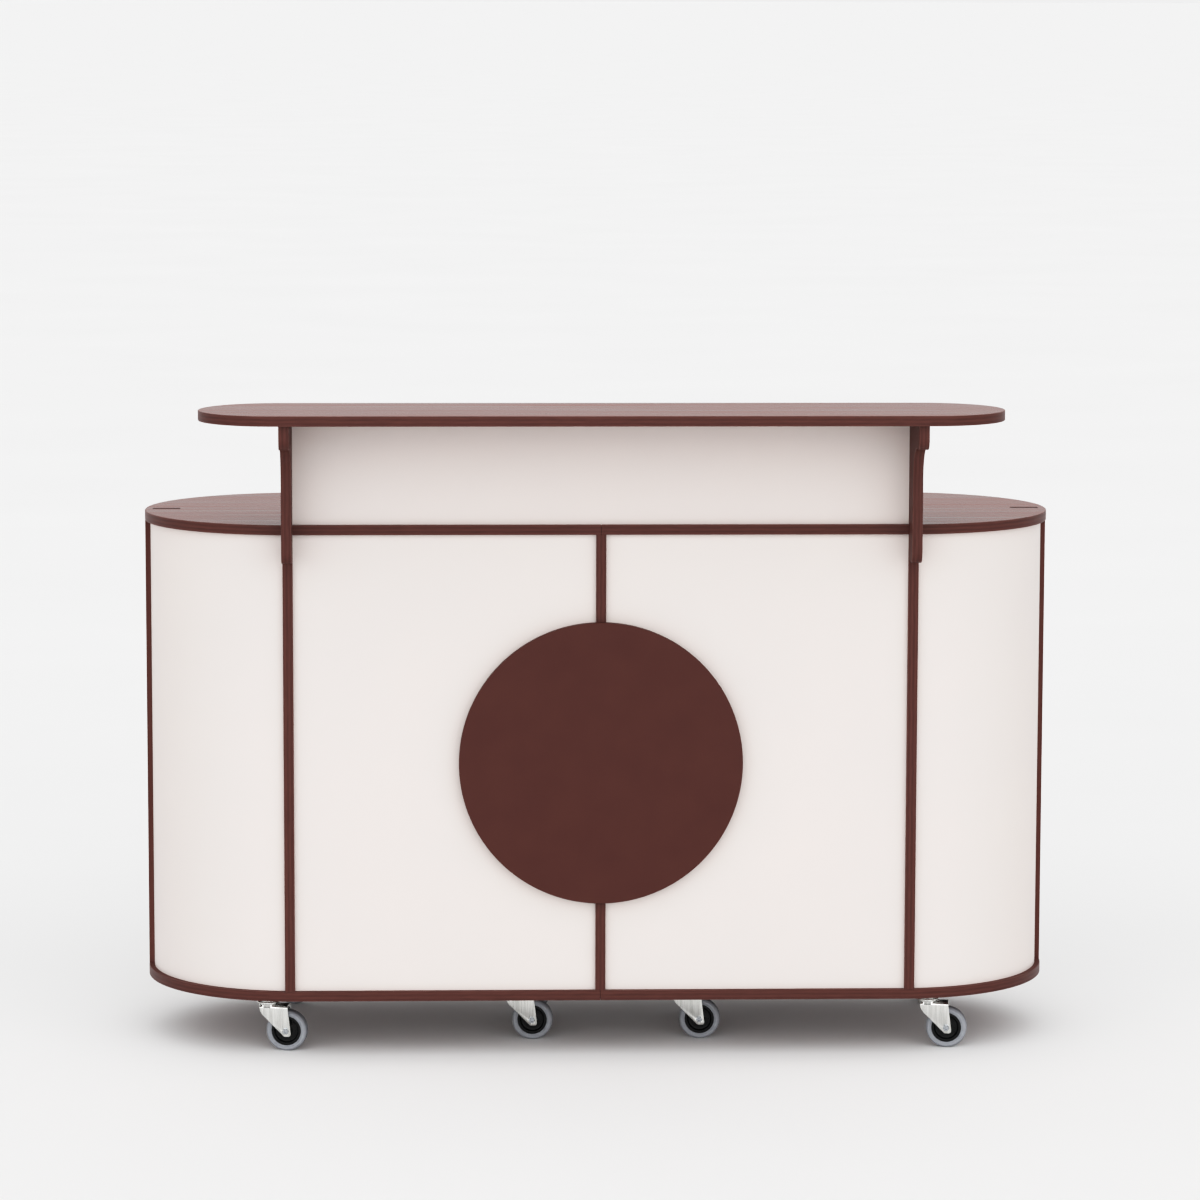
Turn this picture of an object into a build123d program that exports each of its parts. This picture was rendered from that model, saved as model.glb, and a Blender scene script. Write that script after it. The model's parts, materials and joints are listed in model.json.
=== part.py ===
from build123d import *
import math
import os

os.makedirs("parts", exist_ok=True)

# Mobile oval bar counter of stained plywood, thin white panels and swivel casters.
# Millimetres, +Z up, customers stand at -Y and staff at +Y.
# The origin is on the floor, under the middle of the overall box.

# Overall sizes
BODY_LENGTH = 1660.0
BODY_DEPTH = 560.0
WORKTOP_HEIGHT = 970.0
BAR_RISE = 210.0  # top of the bar shelf above the worktop

# Board stock and its joints
BOARD = 18.0
PANEL = 3.0
EDGE_EASE = 0.8
SEAM = 0.6  # between the two halves of worktop and base
JOINT_PLAY = 0.3  # round tenons and at the ends of panels
GROOVE_DEPTH = 4.5
GROOVE_PLAY = 0.2  # on each side of a panel in its groove
PANEL_RECESS = 10.0  # face of the panels behind the edge of the boards

# Posts, each a board on edge with a tenon at both ends
POST_OFFSET = 10.0  # outer posts past the centres of the round ends
POST_DEPTH = 78.0
POST_SETBACK = 0.2  # outer edge of the posts behind the edge of the boards
TENON_SHOULDER = 14.0
TENON_SINK = 0.8  # end of a tenon below the face it comes out of
BRIDLE = 20.0  # how far the bracket posts' tenons reach up into the brackets

# Cross rails and the loose inner shelves
INNER_SHELF_HEIGHT = 540.0
RAIL_HEIGHT = 60.0
INNER_SHELF_PLAY = 2.0

# Battens under the seams
BATTEN_WIDTH = 120.0
BATTEN_GAP = 50.0  # from the posts

# Bar shelf and its brackets
SHELF_DEPTH = 276.0
SHELF_OVERHANG = 176.0  # front edge of the shelf ahead of the body
SHELF_END = 155.0  # end of the shelf past the middle of a bracket
SHELF_LIP = 10.0  # front edge of the shelf ahead of the brackets' tips
BRACKET_BACK = 88.0
BRACKET_LEG = 62.0
BRACKET_TIP = 44.0
TIP_RADIUS = 20.0
COVE_RADIUS = 60.0
LEG_DROP = 46.0  # below the worktop
LEG_RADIUS = 20.0

# Sign board
SIGN_DIAMETER = 510.0
SIGN_THICKNESS = 12.0
SIGN_HEIGHT = 540.0  # its centre above the floor

# Dowels
DOWEL_DIAMETER = 8.0
DOWEL_LENGTH = 40.0
DOWEL_PLAY = 0.1
DOWEL_END_PLAY = 0.5
DOWEL_COVER = 6.0  # wood left over a dowel's end in the shelf
SIGN_COVER = 4.0  # wood left over a dowel's end in the sign board
SIGN_DOWEL_SPACING = 300.0
SHELF_DOWEL_SPACING = 150.0

# Pan-head wood screws
SCREW_DIAMETER = 4.5
SCREW_HEAD = 8.5
SCREW_HEAD_HEIGHT = 2.5
SCREW_BITE = 12.0  # length in the board
SCREW_PLAY = 0.1
BATTEN_SCREW_INSET = 20.0

# Casters
WHEEL_DIAMETER = 75.0
TYRE_WIDTH = 25.0
TYRE_THICKNESS = 10.5
TYRE_SHOULDER = 4.0
TYRE_PLAY = 0.1
HUB_RIM = 5.5
HUB_RIM_INSET = 1.5
HUB_WEB = 10.0
HUB_BOSS = 18.0
HUB_PLAY = 0.3  # between the boss and the fork, each side
AXLE_DIAMETER = 6.0
AXLE_PLAY = 0.08
AXLE_FLATS = 10.0
AXLE_HEAD = 4.0
AXLE_NUT = 5.0
AXLE_END = 2.0  # thread past the nut
TRAIL = 34.4  # axle behind the swivel's axis
CASTER_HEAD = 30.0  # mounting face above the top of the wheel
FORK_STEEL = 2.5
FORK_BEND = 5.0
FORK_SIDE_PLAY = 1.5
FORK_TAIL = 14.0  # crown past the swivel's axis
FORK_NOSE = 3.0  # crown past the axle
FORK_TIP = 10.2  # legs below the axle
FORK_TIP_FRONT = 10.0
FORK_TIP_BACK = 3.0
FORK_TIP_RADIUS = 5.0
FORK_ELBOW = 12.0  # upright back edge of the legs
FORK_ELBOW_RADIUS = 24.0
CROWN_DROP = 20.7  # top of the fork below the mounting face
CUP_DIAMETER = 35.5
CUP_STEEL = 2.0
CUP_RISE = 3.0  # above the top of the fork
CUP_DROP = 4.0  # below the top of the fork
PLATE_STEEL = 2.5
PLATE_SIDE = 60.0
PLATE_RADIUS = 8.0
PLATE_HOLE_INSET = 9.0
RACE_DIAMETER = 40.0
RACE_NECK = 36.0
RACE_PLAY = 0.5
KINGPIN_DIAMETER = 10.0
KINGPIN_HEAD = 16.0
KINGPIN_HEAD_HEIGHT = 3.0
KINGPIN_PLAY = 0.08
KINGPIN_LIFT = 0.3  # between its head and the crown
KINGPIN_SINK = 0.5  # its top below the mounting face

# Where the casters stand
OUTER_CASTER_OFFSET = 52.0  # past the centres of the round ends
OUTER_CASTER_INSET = 80.0  # from the long edges
INNER_CASTER_X = 154.0
INNER_CASTER_INSET = 162.0

# Levels
AXLE_Z = WHEEL_DIAMETER / 2
BASE_UNDERSIDE = WHEEL_DIAMETER + CASTER_HEAD
BASE_TOP = BASE_UNDERSIDE + BOARD
WORKTOP_UNDERSIDE = WORKTOP_HEIGHT - BOARD
BAR_HEIGHT = WORKTOP_HEIGHT + BAR_RISE
SHELF_UNDERSIDE = BAR_HEIGHT - BOARD
PLATE_UNDERSIDE = BASE_UNDERSIDE - PLATE_STEEL
CROWN_TOP = BASE_UNDERSIDE - CROWN_DROP
CROWN_UNDERSIDE = CROWN_TOP - FORK_STEEL

# Plan
BODY_Y = SHELF_OVERHANG / 2
FACE_Y = BODY_Y - BODY_DEPTH / 2
BACK_Y = BODY_Y + BODY_DEPTH / 2
ARC_X = (BODY_LENGTH - BODY_DEPTH) / 2
POST_X = ARC_X + POST_OFFSET
POST_PLACES = (-POST_X, 0.0, POST_X)
TENON = POST_DEPTH - 2 * TENON_SHOULDER
TENON_INSET = POST_SETBACK + POST_DEPTH / 2
POST_FRONT_Y = FACE_Y + POST_SETBACK
RAIL_FRONT_Y = POST_FRONT_Y + POST_DEPTH
RAIL_BACK_Y = BACK_Y - POST_SETBACK - POST_DEPTH
SHELF_LENGTH = 2 * (POST_X + SHELF_END)
SHELF_Y = FACE_Y - SHELF_OVERHANG + SHELF_DEPTH / 2
PANEL_Y = FACE_Y + PANEL_RECESS + PANEL / 2
GROOVE = PANEL + 2 * GROOVE_PLAY

# A panel's edge in the groove of a post, from the middle of that post
PANEL_LAND = BOARD / 2 - GROOVE_DEPTH + JOINT_PLAY
PANEL_BOTTOM = BASE_TOP - GROOVE_DEPTH + JOINT_PLAY
PANEL_TOP = WORKTOP_UNDERSIDE + GROOVE_DEPTH - JOINT_PLAY

# A curved panel drifts inwards across the outer posts, so their grooves are wider by that much
CURVE_RADIUS = BODY_DEPTH / 2 - PANEL_RECESS - PANEL
CURVE_RUN = POST_OFFSET + BOARD / 2
CURVE_DRIFT = CURVE_RADIUS - math.sqrt(CURVE_RADIUS**2 - CURVE_RUN**2)
POST_GROOVE = GROOVE + CURVE_DRIFT
POST_GROOVE_INSET = PANEL_RECESS - GROOVE_PLAY - POST_SETBACK

SIDE_TENONS = [(x, y) for x in POST_PLACES for y in (FACE_Y + TENON_INSET, BACK_Y - TENON_INSET)]
END_TENONS = [(side * (BODY_LENGTH / 2 - TENON_INSET), BODY_Y) for side in (-1, 1)]

OUTER_CASTER_X = ARC_X + OUTER_CASTER_OFFSET
OUTER_CASTER_Y = BODY_DEPTH / 2 - OUTER_CASTER_INSET
INNER_CASTER_Y = BODY_DEPTH / 2 - INNER_CASTER_INSET

# Each caster's place and the angle, in degrees, that its wheel trails at
CASTERS = {
    "front_left": (-OUTER_CASTER_X, BODY_Y - OUTER_CASTER_Y, -9.0),
    "front_mid_left": (-INNER_CASTER_X, BODY_Y - INNER_CASTER_Y, -5.5),
    "front_mid_right": (INNER_CASTER_X, BODY_Y - INNER_CASTER_Y, -5.0),
    "front_right": (OUTER_CASTER_X, BODY_Y - OUTER_CASTER_Y, -7.0),
    "back_left": (-OUTER_CASTER_X, BODY_Y + OUTER_CASTER_Y, -8.0),
    "back_mid_left": (-INNER_CASTER_X, BODY_Y + INNER_CASTER_Y, -6.0),
    "back_mid_right": (INNER_CASTER_X, BODY_Y + INNER_CASTER_Y, -10.0),
    "back_right": (OUTER_CASTER_X, BODY_Y + OUTER_CASTER_Y, -7.0),
}
CASTER_SPOTS = [(x, y) for x, y, turn in CASTERS.values()]


def save(piece, name):
    """Label a finished piece and write it."""
    piece.part.label = name
    export_step(piece.part, f"parts/{name}.step")


def oval(length, depth, mode=Mode.ADD):
    """The body's outline, or one parallel to it."""
    with Locations((0, BODY_Y)):
        SlotOverall(length, depth, mode=mode)


def at_height(spots, z):
    """Plan positions raised to one level."""
    return [(x, y, z) for x, y in spots]


# Dowels: two in each end of a rail, one from post to bracket, two up into the shelf, two in the sign
RAIL_DOWEL_HEIGHTS = [INNER_SHELF_HEIGHT - RAIL_HEIGHT * share for share in (0.25, 0.75)]
BRACKET_DOWEL_HEIGHT = WORKTOP_UNDERSIDE - LEG_DROP / 2
SHELF_DOWEL_HEIGHT = SHELF_UNDERSIDE + BOARD - DOWEL_COVER - DOWEL_LENGTH / 2
SHELF_DOWEL_Y = FACE_Y + BRACKET_BACK / 2
SIGN_DOWEL_Y = POST_FRONT_Y - SIGN_THICKNESS + SIGN_COVER + DOWEL_LENGTH / 2
LYING = (90, 0, 0)

DOWELS = [
    Location((x, y, z), LYING)
    for x in POST_PLACES
    for y in (RAIL_FRONT_Y, RAIL_BACK_Y)
    for z in RAIL_DOWEL_HEIGHTS
]
DOWELS += [Location((side * POST_X, FACE_Y, BRACKET_DOWEL_HEIGHT), LYING) for side in (-1, 1)]
DOWELS += [
    Location((side * POST_X, SHELF_DOWEL_Y - step, SHELF_DOWEL_HEIGHT))
    for side in (-1, 1)
    for step in (0, SHELF_DOWEL_SPACING)
]
DOWELS += [
    Location((0, SIGN_DOWEL_Y, SIGN_HEIGHT + side * SIGN_DOWEL_SPACING / 2), LYING)
    for side in (-1, 1)
]

with BuildPart() as dowels:
    with Locations(*DOWELS):
        Cylinder(DOWEL_DIAMETER / 2, DOWEL_LENGTH)
save(dowels, "dowels")

with BuildPart() as dowel_sockets:
    with Locations(*DOWELS):
        Cylinder(DOWEL_DIAMETER / 2 + DOWEL_PLAY, DOWEL_LENGTH + 2 * DOWEL_END_PLAY)

# Screws: four up through each caster plate, and two rows up through each batten
PLATE_HOLE = PLATE_SIDE / 2 - PLATE_HOLE_INSET
PLATE_SCREWS = [
    (x + across * PLATE_HOLE, y + along * PLATE_HOLE)
    for x, y in CASTER_SPOTS
    for across in (-1, 1)
    for along in (-1, 1)
]
BATTEN_LENGTH = RAIL_BACK_Y - RAIL_FRONT_Y - 2 * BATTEN_GAP
BATTEN_SCREW_X = BATTEN_WIDTH / 2 - BATTEN_SCREW_INSET
BATTEN_SCREW_Y = BATTEN_LENGTH / 2 - BATTEN_SCREW_INSET
BATTEN_SCREWS = [
    (across * BATTEN_SCREW_X, BODY_Y + along * BATTEN_SCREW_Y)
    for across in (-1, 1)
    for along in (-1, -1 / 3, 1 / 3, 1)
]
BATTEN_UNDERSIDES = [BASE_UNDERSIDE - BOARD, WORKTOP_UNDERSIDE - BOARD]

# Each group of screws: where the heads bear, and how long the screws are below the heads
SCREW_GROUPS = [(at_height(PLATE_SCREWS, PLATE_UNDERSIDE), PLATE_STEEL + SCREW_BITE)]
for batten_underside in BATTEN_UNDERSIDES:
    SCREW_GROUPS.append((at_height(BATTEN_SCREWS, batten_underside), BOARD + SCREW_BITE))

UP_FROM = (Align.CENTER, Align.CENTER, Align.MIN)
DOWN_FROM = (Align.CENTER, Align.CENTER, Align.MAX)

with BuildPart() as wood_screws:
    for spots, length in SCREW_GROUPS:
        with Locations(*spots):
            Cylinder(SCREW_HEAD / 2, SCREW_HEAD_HEIGHT, align=DOWN_FROM)
            Cylinder(SCREW_DIAMETER / 2, length, align=UP_FROM)
save(wood_screws, "wood_screws")

with BuildPart() as screw_holes:
    for spots, length in SCREW_GROUPS:
        with Locations(*spots):
            Cylinder(SCREW_DIAMETER / 2 + SCREW_PLAY, length + SCREW_PLAY, align=UP_FROM)


def deck_half(side, underside, groove_bottom):
    """One half of the worktop or the base: side is -1 on the left and 1 on the right."""
    with BuildPart() as piece:
        with BuildSketch(Plane.XY.offset(underside)):
            oval(BODY_LENGTH, BODY_DEPTH)
            with Locations((side * (SEAM + BODY_LENGTH) / 2, BODY_Y)):
                Rectangle(BODY_LENGTH, BODY_DEPTH, mode=Mode.INTERSECT)
        extrude(amount=BOARD)
        chamfer(piece.edges().filter_by(Axis.Z, reverse=True), EDGE_EASE)
        # Slots for the posts' tenons
        with BuildSketch(Plane.XY.offset(underside)):
            with Locations(*SIDE_TENONS):
                Rectangle(BOARD + 2 * JOINT_PLAY, TENON + 2 * JOINT_PLAY)
            with Locations(*END_TENONS):
                Rectangle(TENON + 2 * JOINT_PLAY, BOARD + 2 * JOINT_PLAY)
        extrude(amount=BOARD, mode=Mode.SUBTRACT)
        # Groove for the panels, which leave the staff side open between the outer posts
        with BuildSketch(Plane.XY.offset(groove_bottom)):
            outside = PANEL_RECESS - GROOVE_PLAY
            inside = outside + GROOVE
            oval(BODY_LENGTH - 2 * outside, BODY_DEPTH - 2 * outside)
            oval(BODY_LENGTH - 2 * inside, BODY_DEPTH - 2 * inside, mode=Mode.SUBTRACT)
            with Locations((0, BACK_Y)):
                Rectangle(2 * POST_X, BODY_DEPTH, mode=Mode.SUBTRACT)
        extrude(amount=GROOVE_DEPTH, mode=Mode.SUBTRACT)
        add(screw_holes.part, mode=Mode.SUBTRACT)
    return piece


UPSTAND_GROOVE_LENGTH = 2 * POST_X - BOARD + 2 * GROOVE_DEPTH


for side, side_name in ((-1, "left"), (1, "right")):
    base = deck_half(side, BASE_UNDERSIDE, BASE_TOP - GROOVE_DEPTH)
    save(base, f"base_{side_name}")

    with BuildPart() as worktop:
        add(deck_half(side, WORKTOP_UNDERSIDE, WORKTOP_UNDERSIDE).part)
        # Groove for the foot of the upstand panel
        with BuildSketch(Plane.XY.offset(WORKTOP_HEIGHT - GROOVE_DEPTH)):
            with Locations((0, PANEL_Y)):
                Rectangle(UPSTAND_GROOVE_LENGTH, GROOVE)
        extrude(amount=GROOVE_DEPTH, mode=Mode.SUBTRACT)
    save(worktop, f"worktop_{side_name}")


def upright(edge, inward):
    """Plane of a post: local x runs inward from the edge of the deck and local y is up."""
    return Plane(origin=edge, x_dir=inward, z_dir=inward.cross(Vector(0, 0, 1)))


def post(plane, tenon_top, groove_sides):
    """A post on its plane, with grooves in the faces that a panel meets."""
    middle = POST_DEPTH / 2
    tenon_bottom = BASE_UNDERSIDE + TENON_SINK
    with BuildPart() as piece:
        with BuildSketch(plane):
            with Locations((middle, (BASE_TOP + WORKTOP_UNDERSIDE) / 2)):
                Rectangle(POST_DEPTH, WORKTOP_UNDERSIDE - BASE_TOP)
            with Locations((middle, (tenon_bottom + tenon_top) / 2)):
                Rectangle(TENON, tenon_top - tenon_bottom)
        extrude(amount=BOARD / 2, both=True)
        outer_edges = piece.edges().filter_by(Axis.Z).group_by(Axis(plane.origin, plane.x_dir))[0]
        chamfer(outer_edges, EDGE_EASE)
        for side in groove_sides:
            with BuildSketch(plane.offset(side * BOARD / 2)):
                with Locations((POST_GROOVE_INSET + POST_GROOVE / 2, WORKTOP_HEIGHT / 2)):
                    Rectangle(POST_GROOVE, WORKTOP_HEIGHT)
            extrude(amount=-side * GROOVE_DEPTH, mode=Mode.SUBTRACT)
        add(dowel_sockets.part, mode=Mode.SUBTRACT)
    return piece


FLUSH_TENON = WORKTOP_HEIGHT - TENON_SINK
BRIDLE_TENON = WORKTOP_HEIGHT + BRIDLE
INWARD_FROM_FRONT = Vector(0, 1, 0)
INWARD_FROM_BACK = Vector(0, -1, 0)

front_post_left = post(upright((-POST_X, POST_FRONT_Y, 0), INWARD_FROM_FRONT), BRIDLE_TENON, (-1, 1))
save(front_post_left, "front_post_left")

front_post_centre = post(upright((0, POST_FRONT_Y, 0), INWARD_FROM_FRONT), FLUSH_TENON, (-1, 1))
save(front_post_centre, "front_post_centre")

front_post_right = post(upright((POST_X, POST_FRONT_Y, 0), INWARD_FROM_FRONT), BRIDLE_TENON, (-1, 1))
save(front_post_right, "front_post_right")

for side, side_name in ((-1, "left"), (1, "right")):
    end_edge = (side * (BODY_LENGTH / 2 - POST_SETBACK), BODY_Y, 0)
    end_post = post(upright(end_edge, Vector(-side, 0, 0)), FLUSH_TENON, (-1, 1))
    save(end_post, f"end_post_{side_name}")

# The back posts' planes face -X, so their outer faces are at 1 on the left and -1 on the right
with BuildPart() as back_posts:
    for x, groove_sides in zip(POST_PLACES, ((1,), (), (-1,))):
        edge = (x, BACK_Y - POST_SETBACK, 0)
        add(post(upright(edge, INWARD_FROM_BACK), FLUSH_TENON, groove_sides).part)
save(back_posts, "back_posts")


def curved_panel(end, towards):
    """A quarter of the body's wall: end is -1 on the left, towards is -1 for the customers' side."""
    outside = PANEL_RECESS
    inside = PANEL_RECESS + PANEL
    corner_x = end * (POST_X + PANEL_LAND + BODY_LENGTH / 2)
    corner_y = BODY_Y + towards * (PANEL_LAND + BODY_DEPTH / 2)
    with BuildPart() as piece:
        with BuildSketch(Plane.XY.offset(PANEL_BOTTOM)):
            oval(BODY_LENGTH - 2 * outside, BODY_DEPTH - 2 * outside)
            oval(BODY_LENGTH - 2 * inside, BODY_DEPTH - 2 * inside, mode=Mode.SUBTRACT)
            with Locations((corner_x, corner_y)):
                Rectangle(BODY_LENGTH, BODY_DEPTH, mode=Mode.INTERSECT)
        extrude(amount=PANEL_TOP - PANEL_BOTTOM)
    return piece


for end, end_name in ((-1, "left"), (1, "right")):
    for towards, towards_name in ((-1, "front"), (1, "back")):
        save(curved_panel(end, towards), f"curved_panel_{towards_name}_{end_name}")

FRONT_PANEL_WIDTH = POST_X - 2 * PANEL_LAND
for side, side_name in ((-1, "left"), (1, "right")):
    with BuildPart() as front_panel:
        with BuildSketch(Plane.XY.offset(PANEL_BOTTOM)):
            with Locations((side * POST_X / 2, PANEL_Y)):
                Rectangle(FRONT_PANEL_WIDTH, PANEL)
        extrude(amount=PANEL_TOP - PANEL_BOTTOM)
    save(front_panel, f"front_panel_{side_name}")

# Rails tie each front post to the back post behind it
with BuildPart() as cross_rails:
    with BuildSketch(Plane.XY.offset(INNER_SHELF_HEIGHT - RAIL_HEIGHT)):
        with Locations(*[(x, (RAIL_FRONT_Y + RAIL_BACK_Y) / 2) for x in POST_PLACES]):
            Rectangle(BOARD, RAIL_BACK_Y - RAIL_FRONT_Y - 2 * JOINT_PLAY)
    extrude(amount=RAIL_HEIGHT)
    add(dowel_sockets.part, mode=Mode.SUBTRACT)
save(cross_rails, "cross_rails")

# One loose shelf in each bay, from the middle rail to the outer face of the outer rail
INNER_SHELF_REACH = POST_X + BOARD / 2
with BuildPart() as inner_shelves:
    with BuildSketch(Plane.XY.offset(INNER_SHELF_HEIGHT)):
        with Locations(*[(side * (INNER_SHELF_REACH + SEAM / 2) / 2, BODY_Y) for side in (-1, 1)]):
            Rectangle(INNER_SHELF_REACH - SEAM / 2, RAIL_BACK_Y - RAIL_FRONT_Y - 2 * INNER_SHELF_PLAY)
    extrude(amount=BOARD)
    chamfer(inner_shelves.edges().filter_by(Axis.Z, reverse=True), EDGE_EASE)
save(inner_shelves, "inner_shelves")

with BuildPart() as seam_battens:
    for batten_underside in BATTEN_UNDERSIDES:
        with BuildSketch(Plane.XY.offset(batten_underside)):
            with Locations((0, BODY_Y)):
                Rectangle(BATTEN_WIDTH, BATTEN_LENGTH)
        extrude(amount=BOARD)
    add(screw_holes.part, mode=Mode.SUBTRACT)
save(seam_battens, "seam_battens")


def bracket(side):
    """A corbel that stands on the worktop, hooks over its front edge and carries the bar shelf."""
    x = side * POST_X
    back = FACE_Y + BRACKET_BACK
    tip = FACE_Y - SHELF_OVERHANG + SHELF_LIP
    leg = FACE_Y - BRACKET_LEG
    hook = FACE_Y - JOINT_PLAY
    ledge = SHELF_UNDERSIDE - BRACKET_TIP
    foot = WORKTOP_UNDERSIDE - LEG_DROP
    down = (0, -1)
    inwards = (1, 0)
    with BuildPart() as piece:
        with BuildSketch(Plane.YZ.offset(x)):
            with BuildLine():
                Line((back, SHELF_UNDERSIDE), (tip, SHELF_UNDERSIDE))
                Line((tip, SHELF_UNDERSIDE), (tip, ledge + TIP_RADIUS))
                TangentArc((tip, ledge + TIP_RADIUS), (tip + TIP_RADIUS, ledge), tangent=down)
                Line((tip + TIP_RADIUS, ledge), (leg - COVE_RADIUS, ledge))
                TangentArc((leg - COVE_RADIUS, ledge), (leg, ledge - COVE_RADIUS), tangent=inwards)
                Line((leg, ledge - COVE_RADIUS), (leg, foot + LEG_RADIUS))
                TangentArc((leg, foot + LEG_RADIUS), (leg + LEG_RADIUS, foot), tangent=down)
                Polyline(
                    (leg + LEG_RADIUS, foot),
                    (hook, foot),
                    (hook, WORKTOP_HEIGHT),
                    (back, WORKTOP_HEIGHT),
                    (back, SHELF_UNDERSIDE),
                )
            make_face()
        extrude(amount=BOARD / 2, both=True)
        chamfer(piece.faces().filter_by(Axis.X).edges(), EDGE_EASE)
        # Notch over the tenon of the post below
        with BuildSketch(Plane.YZ.offset(x)):
            with Locations((FACE_Y + TENON_INSET, WORKTOP_HEIGHT)):
                Rectangle(TENON + 2 * JOINT_PLAY, 2 * (BRIDLE + JOINT_PLAY))
        extrude(amount=BOARD / 2, both=True, mode=Mode.SUBTRACT)
        # Groove for the end of the upstand panel, in the inner face
        with BuildSketch(Plane.YZ.offset(x - side * BOARD / 2)):
            with Locations((PANEL_Y, (WORKTOP_HEIGHT + SHELF_UNDERSIDE) / 2)):
                Rectangle(GROOVE, SHELF_UNDERSIDE - WORKTOP_HEIGHT)
        extrude(amount=side * GROOVE_DEPTH, mode=Mode.SUBTRACT)
        add(dowel_sockets.part, mode=Mode.SUBTRACT)
    return piece


save(bracket(-1), "bracket_left")
save(bracket(1), "bracket_right")

with BuildPart() as bar_shelf:
    with BuildSketch(Plane.XY.offset(SHELF_UNDERSIDE)):
        with Locations((0, SHELF_Y)):
            SlotOverall(SHELF_LENGTH, SHELF_DEPTH)
    extrude(amount=BOARD)
    chamfer(bar_shelf.edges().filter_by(Axis.Z, reverse=True), EDGE_EASE)
    with BuildSketch(Plane.XY.offset(SHELF_UNDERSIDE)):
        with Locations((0, PANEL_Y)):
            Rectangle(UPSTAND_GROOVE_LENGTH, GROOVE)
    extrude(amount=GROOVE_DEPTH, mode=Mode.SUBTRACT)
    add(dowel_sockets.part, mode=Mode.SUBTRACT)
save(bar_shelf, "bar_shelf")

UPSTAND_BOTTOM = WORKTOP_HEIGHT - GROOVE_DEPTH + JOINT_PLAY
UPSTAND_TOP = SHELF_UNDERSIDE + GROOVE_DEPTH - JOINT_PLAY
with BuildPart() as upstand_panel:
    with BuildSketch(Plane.XY.offset(UPSTAND_BOTTOM)):
        with Locations((0, PANEL_Y)):
            Rectangle(UPSTAND_GROOVE_LENGTH - 2 * JOINT_PLAY, PANEL)
    extrude(amount=UPSTAND_TOP - UPSTAND_BOTTOM)
save(upstand_panel, "upstand_panel")

# The sign board lies against the front centre post
with BuildPart() as sign_board:
    with BuildSketch(Plane.XZ.offset(-POST_FRONT_Y)):
        with Locations((0, SIGN_HEIGHT)):
            Circle(SIGN_DIAMETER / 2)
    extrude(amount=SIGN_THICKNESS)
    chamfer(sign_board.edges().filter_by(GeomType.CIRCLE), EDGE_EASE)
    add(dowel_sockets.part, mode=Mode.SUBTRACT)
save(sign_board, "sign_board")

# Caster plates, each with its pressed ball race underneath
RACE_BOTTOM = CROWN_TOP + CUP_RISE + RACE_PLAY
with BuildPart() as caster_plates:
    with BuildSketch(Plane.XY.offset(PLATE_UNDERSIDE)):
        with Locations(*CASTER_SPOTS):
            RectangleRounded(PLATE_SIDE, PLATE_SIDE, PLATE_RADIUS)
    extrude(amount=PLATE_STEEL)
    with Locations(*at_height(CASTER_SPOTS, RACE_BOTTOM)):
        Cone(RACE_DIAMETER / 2, RACE_NECK / 2, PLATE_UNDERSIDE - RACE_BOTTOM, align=UP_FROM)
    with Locations(*at_height(CASTER_SPOTS, RACE_BOTTOM)):
        Cylinder(
            KINGPIN_DIAMETER / 2 + KINGPIN_PLAY,
            BASE_UNDERSIDE - RACE_BOTTOM,
            align=UP_FROM,
            mode=Mode.SUBTRACT,
        )
    add(screw_holes.part, mode=Mode.SUBTRACT)
save(caster_plates, "caster_plates")

# Riveted kingpins, whose lower heads carry the forks
KINGPIN_SEAT = CROWN_UNDERSIDE - KINGPIN_LIFT
with BuildPart() as kingpins:
    with Locations(*at_height(CASTER_SPOTS, KINGPIN_SEAT)):
        Cylinder(KINGPIN_HEAD / 2, KINGPIN_HEAD_HEIGHT, align=DOWN_FROM)
        Cylinder(KINGPIN_DIAMETER / 2, BASE_UNDERSIDE - KINGPIN_SINK - KINGPIN_SEAT, align=UP_FROM)
save(kingpins, "kingpins")

# The turning pieces of one caster, made about its own swivel axis and trailing along +X
FORK_INSIDE = TYRE_WIDTH / 2 + FORK_SIDE_PLAY
FORK_OUTSIDE = FORK_INSIDE + FORK_STEEL
FORK_BOTTOM = AXLE_Z - FORK_TIP
FORK_FRONT = TRAIL + FORK_TIP_FRONT
AXLE_SPOT = (TRAIL, AXLE_Z)
ON_EDGE = (Align.CENTER, Align.MIN)

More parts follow.
